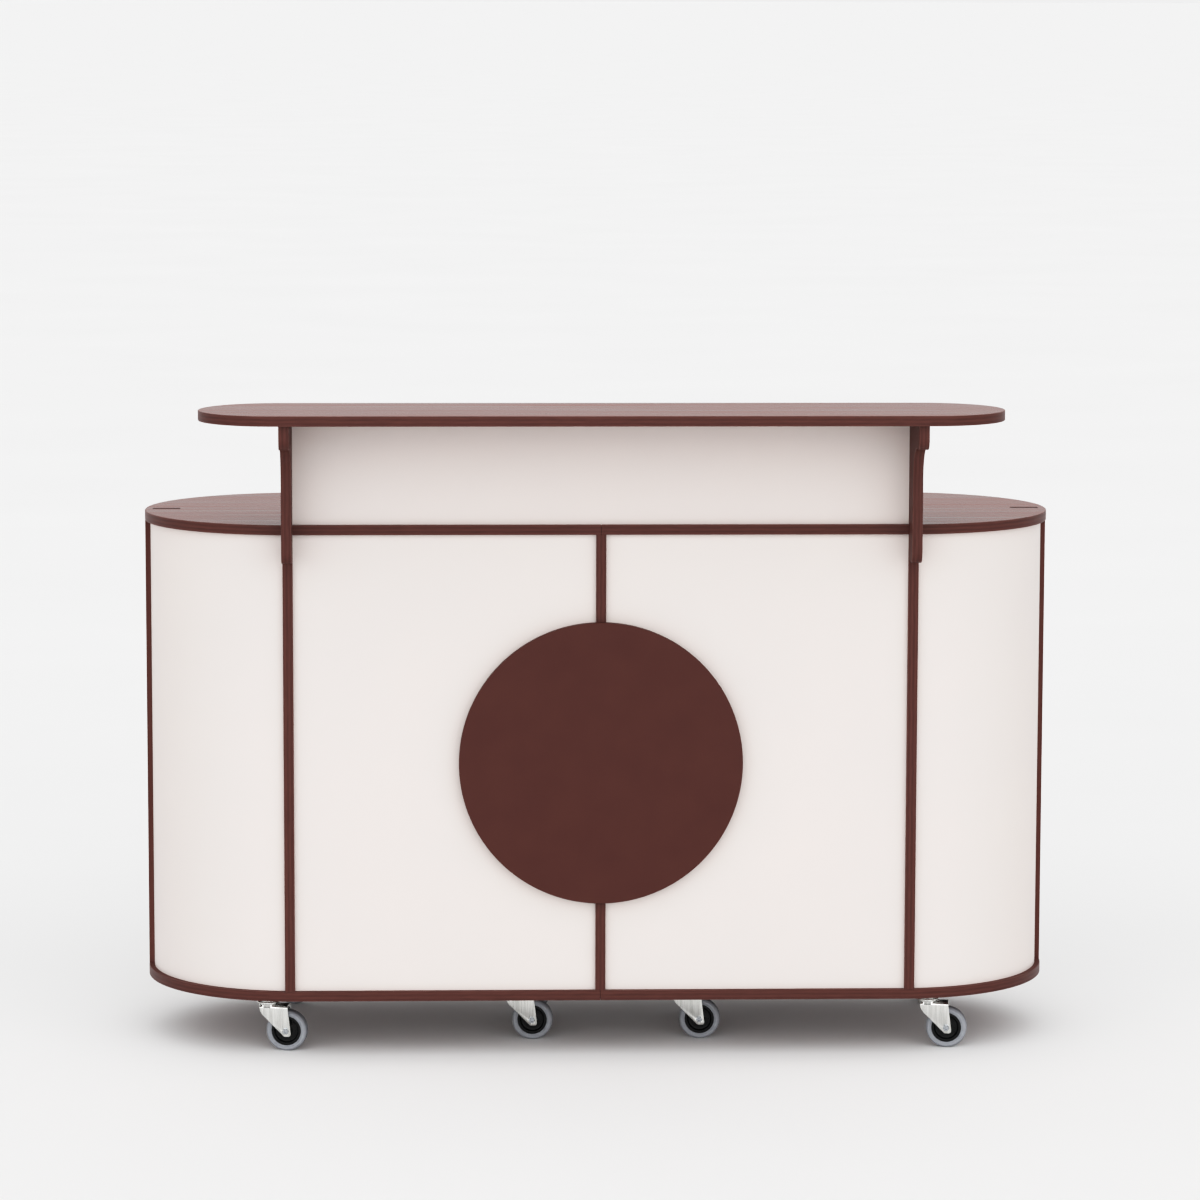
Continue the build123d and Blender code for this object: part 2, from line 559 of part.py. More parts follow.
with BuildPart() as fork_form:
    # A bent channel, open below
    with BuildSketch(Plane.YZ.offset(-FORK_TAIL)) as channel:
        with Locations((0, FORK_BOTTOM)):
            Rectangle(2 * FORK_OUTSIDE, CROWN_TOP - FORK_BOTTOM, align=ON_EDGE)
            Rectangle(
                2 * FORK_INSIDE, CROWN_UNDERSIDE - FORK_BOTTOM, align=ON_EDGE, mode=Mode.SUBTRACT
            )
        inner_corners = channel.vertices().group_by(Axis.Y)[1]
        fillet(inner_corners, FORK_BEND - FORK_STEEL)
        crown_corners = channel.vertices().group_by(Axis.Y)[-1]
        fillet(crown_corners, FORK_BEND)
    extrude(amount=FORK_TAIL + FORK_FRONT)
    # Cut to the side view of its legs, which taper to the axle
    with BuildSketch(Plane.XZ) as legs:
        with BuildLine():
            Polyline(
                (-FORK_TAIL, CROWN_TOP),
                (TRAIL + FORK_NOSE, CROWN_TOP),
                (FORK_FRONT, FORK_BOTTOM),
                (TRAIL - FORK_TIP_BACK, FORK_BOTTOM),
                (-FORK_TAIL, CROWN_TOP - FORK_ELBOW),
                close=True,
            )
        make_face()
        elbow = legs.vertices().group_by(Axis.X)[0].sort_by(Axis.Y)[0]
        fillet(elbow, FORK_ELBOW_RADIUS)
        tip = legs.vertices().group_by(Axis.Y)[0]
        fillet(tip, FORK_TIP_RADIUS)
    extrude(amount=FORK_OUTSIDE, both=True, mode=Mode.INTERSECT)
    # Ball cup pressed round the crown, wider than the legs
    with BuildSketch(Plane.XY.offset(CROWN_TOP - CUP_DROP)):
        Circle(CUP_DIAMETER / 2)
        Circle(CUP_DIAMETER / 2 - CUP_STEEL, mode=Mode.SUBTRACT)
    extrude(amount=CUP_DROP + CUP_RISE)
    # Holes for the kingpin and the axle
    with BuildSketch(Plane.XY.offset(CROWN_UNDERSIDE)):
        Circle(KINGPIN_DIAMETER / 2 + KINGPIN_PLAY)
    extrude(amount=FORK_STEEL, mode=Mode.SUBTRACT)
    with BuildSketch(Plane.XZ):
        with Locations(AXLE_SPOT):
            Circle(AXLE_DIAMETER / 2 + AXLE_PLAY)
    extrude(amount=FORK_OUTSIDE, both=True, mode=Mode.SUBTRACT)

# Axle bolt with its head towards -Y, and the nut on its other end
with BuildPart() as axle_form:
    with BuildSketch(Plane.XZ.offset(FORK_OUTSIDE)):
        with Locations(AXLE_SPOT):
            RegularPolygon(AXLE_FLATS / 2, 6, major_radius=False)
    extrude(amount=AXLE_HEAD)
    with BuildSketch(Plane.XZ.offset(FORK_OUTSIDE)):
        with Locations(AXLE_SPOT):
            Circle(AXLE_DIAMETER / 2)
    extrude(amount=-(2 * FORK_OUTSIDE + AXLE_NUT + AXLE_END))

with BuildPart() as nut_form:
    with BuildSketch(Plane.XZ.offset(-FORK_OUTSIDE)):
        with Locations(AXLE_SPOT):
            RegularPolygon(AXLE_FLATS / 2, 6, major_radius=False)
            Circle(AXLE_DIAMETER / 2 + AXLE_PLAY, mode=Mode.SUBTRACT)
    extrude(amount=-AXLE_NUT)

# Hub and tyre, turned about the axle from profiles in its level plane
WHEEL_AXIS = Axis((TRAIL, 0, AXLE_Z), (0, 1, 0))
HUB_RADIUS = WHEEL_DIAMETER / 2 - TYRE_THICKNESS
RIM_HALF = TYRE_WIDTH / 2 - HUB_RIM_INSET
BOSS_HALF = FORK_INSIDE - HUB_PLAY
BORE_RADIUS = AXLE_DIAMETER / 2 + AXLE_PLAY


def ring(inner, outer, half_width, mode=Mode.ADD):
    """A rectangle beside the axle that turns into a ring."""
    with Locations((TRAIL + (inner + outer) / 2, 0)):
        Rectangle(outer - inner, 2 * half_width, mode=mode)


with BuildPart() as hub_form:
    with BuildSketch(Plane.XY.offset(AXLE_Z)):
        ring(BORE_RADIUS, HUB_BOSS / 2, BOSS_HALF)
        ring(BORE_RADIUS, HUB_RADIUS, HUB_WEB / 2)
        ring(HUB_RADIUS - HUB_RIM, HUB_RADIUS, RIM_HALF)
    revolve(axis=WHEEL_AXIS)

with BuildPart() as tyre_form:
    with BuildSketch(Plane.XY.offset(AXLE_Z)) as tread:
        ring(HUB_RADIUS + TYRE_PLAY, WHEEL_DIAMETER / 2, TYRE_WIDTH / 2)
        fillet(tread.vertices().group_by(Axis.X)[-1], TYRE_SHOULDER)
    revolve(axis=WHEEL_AXIS)

for place, (x, y, turn) in CASTERS.items():
    stand = Location((x, y, 0), (0, 0, turn))
    for name, forms in (
        ("fork", [fork_form]),
        ("axle", [axle_form, nut_form]),
        ("hub", [hub_form]),
        ("tyre", [tyre_form]),
    ):
        with BuildPart() as caster_piece:
            with Locations(stand):
                for form in forms:
                    add(form.part)
        save(caster_piece, f"{name}_{place}")
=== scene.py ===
import json
import math

import bmesh
import bpy
from bpy.props import FloatProperty, FloatVectorProperty, IntProperty, PointerProperty
from bpy.types import NodeSocket, Operator, Panel, PropertyGroup
from mathutils import Euler, Matrix, Vector


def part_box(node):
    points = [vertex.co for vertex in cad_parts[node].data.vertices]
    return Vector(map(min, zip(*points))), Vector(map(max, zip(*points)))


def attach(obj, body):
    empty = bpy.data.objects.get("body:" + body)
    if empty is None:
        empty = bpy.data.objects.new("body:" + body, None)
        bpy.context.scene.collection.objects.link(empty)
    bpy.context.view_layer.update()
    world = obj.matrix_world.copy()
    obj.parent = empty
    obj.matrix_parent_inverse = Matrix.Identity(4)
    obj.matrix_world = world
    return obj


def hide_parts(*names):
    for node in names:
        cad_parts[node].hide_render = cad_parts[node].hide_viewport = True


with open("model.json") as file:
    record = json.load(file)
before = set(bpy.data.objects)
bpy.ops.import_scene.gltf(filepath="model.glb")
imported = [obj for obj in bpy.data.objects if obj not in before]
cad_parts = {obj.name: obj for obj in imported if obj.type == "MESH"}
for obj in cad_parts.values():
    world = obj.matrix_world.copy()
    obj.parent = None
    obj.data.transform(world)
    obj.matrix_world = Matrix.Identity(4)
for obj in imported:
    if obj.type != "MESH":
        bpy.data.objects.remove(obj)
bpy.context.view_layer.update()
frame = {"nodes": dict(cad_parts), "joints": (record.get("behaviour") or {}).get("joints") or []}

bl_info = {
    "name": "Oval Bar Counter",
    "version": (1, 0, 0),
    "blender": (4, 5, 0),
    "location": "3D View > Sidebar > Counter",
    "description": "Finishes an oval bar counter on casters and sets it in a plain studio",
    "category": "Object",
}

NODES = frame["nodes"]
JOINTS = {joint["name"]: joint for joint in frame["joints"]}
PLACES = [name.removeprefix("swivel_") for name in JOINTS if name.startswith("swivel_")]

# Boards by the way their plies are stacked, the way the grain of their faces runs, and whether
# their faces are tops that are sanded finer and lacquered, and stained paler as painted light from above
BOARDS = {
    ("Z", "X", True): ("worktop_left", "worktop_right", "bar_shelf"),
    ("Z", "X", False): ("base_left", "base_right", "inner_shelves"),
    ("Z", "Y", False): ("seam_battens",),
    ("X", "Z", False): (
        "front_post_left",
        "front_post_centre",
        "front_post_right",
        "back_posts",
        "bracket_left",
        "bracket_right",
    ),
    ("X", "Y", False): ("cross_rails",),
    ("Y", "Z", False): ("end_post_left", "end_post_right"),
}
PANELS = (
    "front_panel_left",
    "front_panel_right",
    "curved_panel_front_left",
    "curved_panel_front_right",
    "curved_panel_back_left",
    "curved_panel_back_right",
    "upstand_panel",
)

AXES = {"X": Vector((1, 0, 0)), "Y": Vector((0, 1, 0)), "Z": Vector((0, 0, 1))}

# A fold of less than FLAT is no edge, and one of more than SHARP is a sharp edge
FLAT = math.radians(1)
SHARP = math.radians(32)

# Points nearer than WELD are one point, and faces thinner than SLIVER are dropped: both in metres
WELD = 1e-6
SLIVER = 1e-5

# Faces round the small turned pieces. The bolts' are a multiple of 6, which keeps their hexagons sharp
SCREW_STEPS = 40
BOLT_STEPS = 36

# Sockets of a colour mix, which have no names of their own
FACTOR, FIRST, SECOND, MIXED = 0, 6, 7, 2

# A wave texture of scale 1 repeats over this length
WAVE_LENGTH = math.tau / 20

# How light each level of the scene comes out in the picture
TONES = ((0.1, 0.095), (0.4, 0.485), (0.68, 0.765), (0.9, 0.905))


def linear(code):
    """Linear colour of an sRGB hex value."""
    channels = [int(code[place : place + 2], 16) / 255 for place in (0, 2, 4)]
    return [c / 12.92 if c <= 0.04045 else ((c + 0.055) / 1.055) ** 2.4 for c in channels]


def colour(name, description, code):
    """A colour that the user can change."""
    return FloatVectorProperty(
        name=name, description=description, subtype="COLOR", size=3, min=0, max=1, default=linear(code)
    )


def length(name, description, millimetres):
    """A length that the user can change."""
    return FloatProperty(
        name=name,
        description=description,
        unit="LENGTH",
        subtype="DISTANCE",
        precision=5,
        min=0,
        default=millimetres / 1000,
    )


class CounterFinishes(PropertyGroup):
    """Colours and grain sizes of the counter's materials."""

    stain: colour("Stain", "Red-brown stain on the faces of the plywood", "4c2822")
    stain_pale: colour("Pale stain", "Fibres that take less stain", "5d3832")
    # Painted light: the tops' stains are paler than the other stains, for the stronger light the tops get
    # from above
    painted_lit_top_stain: colour("Top stain", "Stain on the tops, wiped thinner", "5d3029")
    painted_lit_pale_top_stain: colour("Pale top stain", "Their fibres that take less stain", "7d4940")
    stain_dark: colour("Dark stain", "End grain and pores that take more stain", "3d211d")
    # The worn stain also stands for a painted highlight where the eased edges catch the light
    worn_stain_and_highlight: colour("Worn stain", "Eased edges, where the stain is rubbed thin", "6a4842")
    lacquer: colour("Lacquer", "Off-white lacquer of the panels", "d4cac5")
    lacquer_cool: colour("Cool lacquer", "Thinner patches of the lacquer", "d1c8c4")
    sign_paint: colour("Sign paint", "Brown paint of the sign board", "47231e")
    sign_paint_pale: colour("Pale sign paint", "Where the roller left less paint", "4a2620")
    beech: colour("Beech", "Bare beech of the dowels", "c79d6f")
    beech_dark: colour("Beech flecks", "Dark flecks in the beech", "a87b50")
    zinc: colour("Zinc", "Bright zinc plating of the pressed sheet", "e4e5e2")
    zinc_dull: colour("Dull zinc", "Its drawing lines", "c3c4c1")
    blue_zinc: colour("Blue zinc", "Plating of bolts, screws and pins", "b9bdc1")
    blue_zinc_dull: colour("Dull blue zinc", "Its cloudy patches", "9a9fa5")
    # Painted shade: this dark colour goes on zinc faces that look up, for the shadow and dark reflections
    # under the counter
    painted_swivel_shade: colour("Grease", "Dust and grease round the swivels", "23211f")
    nylon: colour("Nylon", "Black moulded hubs", "08090a")
    nylon_dusty: colour("Dusty nylon", "Dust in the grain of the hubs", "121314")
    rubber: colour("Rubber", "Grey side walls of the tyres", "7f8187")
    rubber_dusty: colour("Dusty rubber", "Paler bloom on the side walls", "8b8e93")
    tread: colour("Tread", "Tread of the tyres, darkened by the floor", "66676d")
    floor: colour("Floor", "Studio paper on the floor", "eeeeee")
    floor_scuffed: colour("Scuffed floor", "Faint scuffs of the paper", "ececec")
    ply: length("Ply", "Thickness of a ply as drawn on the cut edges", 18 / 5)
    tear: length("Tear", "Length of a ragged patch on the cut edges", 30)
    fibre: length("Fibre", "Width of a bundle of fibres on the faces", 2.4)
    fibre_length: length("Fibre length", "Length of a bundle of fibres", 320)
    figure: length("Figure", "Width of a band of the wood's figure", 26)
    figure_length: length("Figure length", "Length of a band of the figure", 900)
    pore: length("Pore", "Width of a group of pores", 1.1)
    pore_length: length("Pore length", "Length of a group of pores", 22)
    drawn_line: length("Drawing line", "Width of a line on the pressed sheet", 3.5)
    drawn_length: length("Drawing length", "Length of a line on the pressed sheet", 80)


class CounterCasters(PropertyGroup):
    """Sizes of the casters' finished pieces."""

    wheel_diameter: length("Wheel diameter", "Over the tread", 75)
    tyre_width: length("Tyre width", "Between the side walls", 25)
    tyre_bore: length("Tyre bore", "Diameter where the tyre sits on the hub", 54.2)
    hub_diameter: length("Hub diameter", "Over the rim", 54)
    hub_width: length("Hub width", "Across the rim", 22)
    hub_boss: length("Hub boss", "Diameter of the boss", 18)
    boss_width: length("Boss width", "Across the boss", 27.4)
    axle_bore: length("Axle bore", "Hole in the hub", 6.16)
    axle_diameter: length("Axle diameter", "Shank of the axle bolt", 6)
    axle_flats: length("Axle flats", "Across the flats of the bolt's head and the nut", 10)
    fork_width: length("Fork width", "Over the outsides of the fork's legs", 33)
    head_height: length("Head height", "Height of the bolt's head", 4)
    dimple: length("Dimple", "Width of the dimple in the bolt's head", 5)
    nut_height: length("Nut height", "Height of the nut with its nylon collar", 5)
    thread_end: length("Thread end", "Thread past the nut", 2)
    cover_diameter: length("Cover diameter", "Over the rolled cover of the ball race", 42.4)
    cover_bore: length("Cover bore", "Inside the rolled cover", 36.1)
    cover_height: length("Cover height", "Height of the rolled cover", 6.7)
    cup_height: length("Cup height", "Height of the cup pressed round the fork's crown", 7)
    cover_lap: length("Cover lap", "How far the rolled cover reaches down over the fork's cup", 1.2)
    screw_head: length("Screw head", "Height of the screws' heads", 2.5)
    screw_point: length("Screw point", "Length of the screws' points", 4)
    recess: length("Recess", "Depth of the screws' cross recesses", 1.4)
    hub_lip: length("Hub lip", "Width of the hub's rim", 4.5)
    hub_web: length("Hub web", "Half the thickness of the hub's web", 5)
    tyre_groove: length("Tyre groove", "Depth of the groove beside the tyre's bead", 1.2)
    tyre_shoulder: length("Tyre shoulder", "How far the tread ends inside the side wall", 4.2)
    edge_radius: length("Edge radius", "Rounding of pressed edges", 0.45)
    steps: IntProperty(name="Steps", description="Faces round a turned piece", min=24, max=256, default=96)


class CounterStudio(PropertyGroup):
    """Camera, light and floor."""

    camera_place: FloatVectorProperty(
        name="Camera",
        description="Where the camera stands",
        subtype="TRANSLATION",
        unit="LENGTH",
        default=(-0.2746, -8.4931, 1.9004),
    )
    yaw: FloatProperty(name="Yaw", description="Camera turned to the right", subtype="ANGLE", default=0.0328)
    pitch: FloatProperty(name="Pitch", description="Camera tipped down", subtype="ANGLE", default=0.1276)
    roll: FloatProperty(name="Roll", description="Camera rolled", subtype="ANGLE", default=0.0022)
    lens: FloatProperty(name="Lens", description="Focal length", unit="CAMERA", default=140.46)
    sensor: FloatProperty(name="Sensor", description="Width of the sensor", unit="CAMERA", default=36)
    floor_radius: FloatProperty(
        name="Floor radius", description="Half width of the floor", unit="LENGTH", default=4000.0
    )
    fill: FloatProperty(name="Fill", description="Light from all round", default=0.25)
    front: FloatProperty(name="Front", description="Light from the soft box behind the camera", default=1.64)
    front_fade: FloatProperty(name="Front fade", description="How fast it fades to the sides", default=1.15)
    top: FloatProperty(name="Top", description="Light from above", default=0.84)
    walls: FloatProperty(name="Walls", description="Light from the white walls, low down", default=0.6)


def add(tree, kind, inputs=None, **settings):
    """Add a node with its settings, and set or link its inputs."""
    made = tree.nodes.new(kind)
    for name, value in settings.items():
        setattr(made, name, value)
    for name, value in (inputs or {}).items():
        if isinstance(value, NodeSocket):
            tree.links.new(value, made.inputs[name])
        else:
            made.inputs[name].default_value = value
    return made


def blank(name, **constants):
    """A new material's tree and shader, with the shader's constant inputs set."""
    made = bpy.data.materials.new(name)
    made.use_nodes = True
    tree = made.node_tree
    shader = tree.nodes["Principled BSDF"]
    for socket, value in constants.items():
        shader.inputs[socket.replace("_", " ")].default_value = value
    return made, tree, shader


def rgba(value):
    """A colour with full cover."""
    return (*value, 1)


def spread(along, across, grain):
    """How often a pattern repeats per metre along and across the grain."""
    return [1 / along if axis == grain else 1 / across for axis in AXES]


def plywood_face(tree, place, grain, lacquered):
    """Faces of a board: fibres in bundles, in wide bands of figure, with short open pores.

    Gives the sockets of their colour, of how pale they are and of their relief.
    """
    look = bpy.context.scene.counter_finishes
    patterns = {}
    for name, along, across, detail, warp in (
        ("fibre", look.fibre_length, look.fibre, 3, 0.3),
        ("figure", look.figure_length, look.figure, 4, 0.8),
        ("pore", look.pore_length, look.pore, 1, 0),
    ):
        stretched = add(
            tree, "ShaderNodeVectorMath", {0: place, 1: spread(along, across, grain)}, operation="MULTIPLY"
        )
        patterns[name] = add(
            tree,
            "ShaderNodeTexNoise",
            {"Vector": stretched.outputs[0], "Scale": 1, "Detail": detail, "Distortion": warp},
        ).outputs["Fac"]
    streaks = add(
        tree,
        "ShaderNodeMath",
        {0: patterns["fibre"], 1: 0.55, 2: patterns["figure"]},
        operation="MULTIPLY_ADD",
    )
    paleness = add(
        tree, "ShaderNodeMapRange", {"Value": streaks.outputs[0], "From Min": 0.55, "From Max": 1.0}
    )
    first, second = look.stain, look.stain_pale
    # Painted light: the tops take the paler top stains, for the stronger light they get from above
    if lacquered:
        first, second = look.painted_lit_top_stain, look.painted_lit_pale_top_stain
    fibres = add(
        tree,
        "ShaderNodeMix",
        {FACTOR: paleness.outputs[0], FIRST: rgba(first), SECOND: rgba(second)},
        data_type="RGBA",
    )
    pores = add(
        tree,
        "ShaderNodeMapRange",
        {"Value": patterns["pore"], "From Min": 0.62, "From Max": 0.75, "To Max": 0.6},
    )
    wood = add(
        tree,
        "ShaderNodeMix",
        {FACTOR: pores.outputs[0], FIRST: fibres.outputs[MIXED], SECOND: rgba(look.stain_dark)},
        data_type="RGBA",
    )
    relief = add(
        tree,
        "ShaderNodeMath",
        {0: patterns["pore"], 1: -0.6, 2: streaks.outputs[0]},
        operation="MULTIPLY_ADD",
    )
    return wood.outputs[MIXED], paleness.outputs[0], relief.outputs[0]


def plywood_edge(tree, spot, place, thickness):
    """Cut edges of a board, where its plies show as ragged lines.

    Gives the sockets of their colour and of how ragged they are.
    """
    look = bpy.context.scene.counter_finishes
    # The plies are drawn thicker than real ones, which are too fine to show
    layers = add(
        tree,
        "ShaderNodeTexWave",
        {
            "Vector": spot,
            "Scale": WAVE_LENGTH / (2 * look.ply),
            "Distortion": 1.2,
            "Detail": 2,
            "Detail Scale": 0.6,
        },
        bands_direction=thickness,
    )
    torn = add(
        tree,
        "ShaderNodeVectorMath",
        {0: place, 1: spread(look.ply / 2, look.tear, thickness)},
        operation="MULTIPLY",
    )
    ragged = add(tree, "ShaderNodeTexNoise", {"Vector": torn.outputs[0], "Scale": 1, "Detail": 3})
    lines = add(
        tree,
        "ShaderNodeMath",
        {0: layers.outputs["Fac"], 1: 0.45, 2: ragged.outputs["Fac"]},
        operation="MULTIPLY_ADD",
    )
    depth = add(tree, "ShaderNodeMapRange", {"Value": lines.outputs[0], "From Min": 0.1, "From Max": 1.35})
    wood = add(
        tree,
        "ShaderNodeMix",
        {FACTOR: depth.outputs[0], FIRST: rgba(look.stain_dark), SECOND: rgba(look.stain_pale)},
        data_type="RGBA",
    )
    return wood.outputs[MIXED], ragged.outputs["Fac"]


def stained_plywood(thickness, grain, lacquered):
    """Birch plywood, sanded and stained red-brown, with a thin satin lacquer on the tops.

    The faces show long faint fibres, matte on the uprights and with a sheen on the tops, whose paler stain is
    painted light from above. The cut edges show the plies as dark and pale lines, and the eased edges are
    painted paler, partly as stain rubbed thin and partly as a painted highlight.
    """
    look = bpy.context.scene.counter_finishes
    kind, dullness, grain_relief = ("top", 0.28, 0.06) if lacquered else ("board", 0.62, 0.3)
    name = f"stained_birch_plywood_{kind}_{thickness}{grain}".lower()
    made, tree, shader = blank(name, Specular_IOR_Level=0.09)
    spot = add(tree, "ShaderNodeTexCoord")
    own = add(tree, "ShaderNodeObjectInfo")
    # Each board is cut from another part of the sheet
    place = add(
        tree,
        "ShaderNodeVectorMath",
        {0: own.outputs["Random"], 1: (3, 5, 7), 2: spot.outputs["Object"]},
        operation="MULTIPLY_ADD",
    )
    face, paleness, relief = plywood_face(tree, place.outputs[0], grain, lacquered)
    edge, ragged = plywood_edge(tree, spot.outputs["Object"], place.outputs[0], thickness)

    # Which of them shows depends on how the surface lies to the plies
    lie = add(
        tree,
        "ShaderNodeVectorMath",
        {0: spot.outputs["Normal"], 1: AXES[thickness]},
        operation="DOT_PRODUCT",
    )
    facing = add(tree, "ShaderNodeMath", {0: lie.outputs["Value"]}, operation="ABSOLUTE")
    on_face = add(tree, "ShaderNodeMath", {0: facing.outputs[0], 1: 0.9}, operation="GREATER_THAN")
    wood = add(
        tree,
        "ShaderNodeMix",
        {FACTOR: on_face.outputs[0], FIRST: edge, SECOND: face},
        data_type="RGBA",
    )
    # The eased edges lie about halfway between
    on_ease = add(tree, "ShaderNodeMath", {0: facing.outputs[0], 1: 0.7, 2: 0.15}, operation="COMPARE")
    # Painted highlight: the eased edges are mixed towards the worn stain, partly wear and partly the light
    # they catch
    rubbed = add(tree, "ShaderNodeMath", {0: on_ease.outputs[0], 1: ragged}, operation="MULTIPLY")
    wood = add(
        tree,
        "ShaderNodeMix",
        {FACTOR: rubbed.outputs[0], FIRST: wood.outputs[MIXED], SECOND: rgba(look.worn_stain_and_highlight)},
        data_type="RGBA",
    )

    # Pale fibres are a little duller than dark ones
    satin = add(
        tree, "ShaderNodeMapRange", {"Value": paleness, "To Min": dullness - 0.05, "To Max": dullness + 0.05}
    )
    gloss = add(
        tree, "ShaderNodeMapRange", {"Value": on_face.outputs[0], "To Min": 0.4, "To Max": satin.outputs[0]}
    )
    raised = add(tree, "ShaderNodeBump", {"Height": relief, "Strength": grain_relief, "Distance": 0.0001})
    tree.links.new(wood.outputs[MIXED], shader.inputs["Base Color"])
    tree.links.new(gloss.outputs[0], shader.inputs["Roughness"])
    tree.links.new(raised.outputs[0], shader.inputs["Normal"])
    return made


def clouded(name, first, second, broad, fine, relief, **constants):
    """A material of two near tones in broad soft clouds, with a fine grain in relief.

    The sizes of clouds and grain and the depth of the relief are in millimetres.
    """
    made, tree, shader = blank(name, **constants)
    spot = add(tree, "ShaderNodeTexCoord")
    clouds = add(
        tree, "ShaderNodeTexNoise", {"Vector": spot.outputs["Object"], "Scale": 1000 / broad, "Detail": 3}
    )
    tone = add(tree, "ShaderNodeMapRange", {"Value": clouds.outputs["Fac"], "From Min": 0.3, "From Max": 0.7})
    shade = add(
        tree,
        "ShaderNodeMix",
        {FACTOR: tone.outputs[0], FIRST: rgba(first), SECOND: rgba(second)},
        data_type="RGBA",
    )
    grit = add(
        tree, "ShaderNodeTexNoise", {"Vector": spot.outputs["Object"], "Scale": 1000 / fine, "Detail": 2}
    )
    raised = add(
        tree, "ShaderNodeBump", {"Height": grit.outputs["Fac"], "Strength": 0.4, "Distance": relief / 1000}
    )
    tree.links.new(shade.outputs[MIXED], shader.inputs["Base Color"])
    tree.links.new(raised.outputs[0], shader.inputs["Normal"])
    return made, tree, shader, spot, shade


def white_lacquer():
    """Hardboard sprayed with off-white satin lacquer: even, soft, with a faint orange peel."""
    look = bpy.context.scene.counter_finishes
    return clouded(
        "sprayed_white_lacquer",
        look.lacquer,
        look.lacquer_cool,
        broad=300,
        fine=6,
        relief=0.03,
        Roughness=0.46,
        Specular_IOR_Level=0.4,
    )[0]


def sign_paint():
    """Board painted with a foam roller: one deep brown with a fine stipple and a low sheen."""
    look = bpy.context.scene.counter_finishes
    return clouded(
        "rolled_sign_paint",
        look.sign_paint,
        look.sign_paint_pale,
        broad=70,
        fine=2.2,
        relief=0.06,
        Roughness=0.5,
        Specular_IOR_Level=0.15,
    )[0]


def beech_wood():
    """Beech turned to rods: pale, with small dark flecks."""
    look = bpy.context.scene.counter_finishes
    return clouded(
        "turned_beech", look.beech, look.beech_dark, broad=4, fine=0.9, relief=0.05, Roughness=0.6
    )[0]


def drawn_zinc():
    """Drawn steel sheet with bright zinc plating: a soft mirror with upright drawing lines.

    Faces that look up, round the swivel, are painted dark: painted shade for the shadow and dark reflections
    under the counter.
    """
    name = "drawn_zinc_plated_steel"
    if name in bpy.data.materials:
        return bpy.data.materials[name]
    look = bpy.context.scene.counter_finishes
    made, tree, shader = blank(name, Metallic=1)
    spot = add(tree, "ShaderNodeTexCoord")
    # The lines are drawn coarser than real ones, which are too fine to show
    drawn = add(
        tree,
        "ShaderNodeVectorMath",
        {0: spot.outputs["Object"], 1: spread(look.drawn_length, look.drawn_line, "Z")},
        operation="MULTIPLY",
    )
    lines = add(tree, "ShaderNodeTexNoise", {"Vector": drawn.outputs[0], "Scale": 1, "Detail": 2})
    tone = add(
        tree, "ShaderNodeMapRange", {"Value": lines.outputs["Fac"], "From Min": 0.35, "From Max": 0.65}
    )
    plating = add(
        tree,
        "ShaderNodeMix",
        {FACTOR: tone.outputs[0], FIRST: rgba(look.zinc), SECOND: rgba(look.zinc_dull)},
        data_type="RGBA",
    )
    # Painted shade: faces that look up are mixed towards a dark colour, for the shadow under the counter
    lie = add(tree, "ShaderNodeSeparateXYZ", {0: spot.outputs["Normal"]})
    level = add(tree, "ShaderNodeMapRange", {"Value": lie.outputs["Z"], "From Min": 0.75, "From Max": 0.97})
    shade = add(
        tree,
        "ShaderNodeMix",
        {FACTOR: level.outputs[0], FIRST: plating.outputs[MIXED], SECOND: rgba(look.painted_swivel_shade)},
        data_type="RGBA",
    )
    bright = add(tree, "ShaderNodeMapRange", {"Value": tone.outputs[0], "To Min": 0.13, "To Max": 0.3})
    gloss = add(
        tree,
        "ShaderNodeMath",
        {0: level.outputs[0], 1: 0.4, 2: bright.outputs[0]},
        operation="MULTIPLY_ADD",
    )
    raised = add(
        tree, "ShaderNodeBump", {"Height": lines.outputs["Fac"], "Strength": 0.3, "Distance": 0.00003}
    )
    tree.links.new(shade.outputs[MIXED], shader.inputs["Base Color"])
    tree.links.new(gloss.outputs[0], shader.inputs["Roughness"])
    tree.links.new(raised.outputs[0], shader.inputs["Normal"])
    return made


def headed_zinc():
    """Cold-headed steel with a blue zinc plating: small parts with a harder and darker shine."""
    name = "headed_zinc_plated_steel"
    if name in bpy.data.materials:
        return bpy.data.materials[name]
    look = bpy.context.scene.counter_finishes
    return clouded(
        name,
        look.blue_zinc,
        look.blue_zinc_dull,
        broad=4,
        fine=0.6,
        relief=0.02,
        Metallic=1,
        Roughness=0.17,
    )[0]


def moulded_nylon():
    """Nylon from a smooth mould: black with a soft shine, and dust in its fine grain."""
    look = bpy.context.scene.counter_finishes
    return clouded(
        "moulded_black_nylon",
        look.nylon,
        look.nylon_dusty,
        broad=9,
        fine=0.7,
        relief=0.05,
        Roughness=0.22,
        Specular_IOR_Level=0.14,
    )[0]


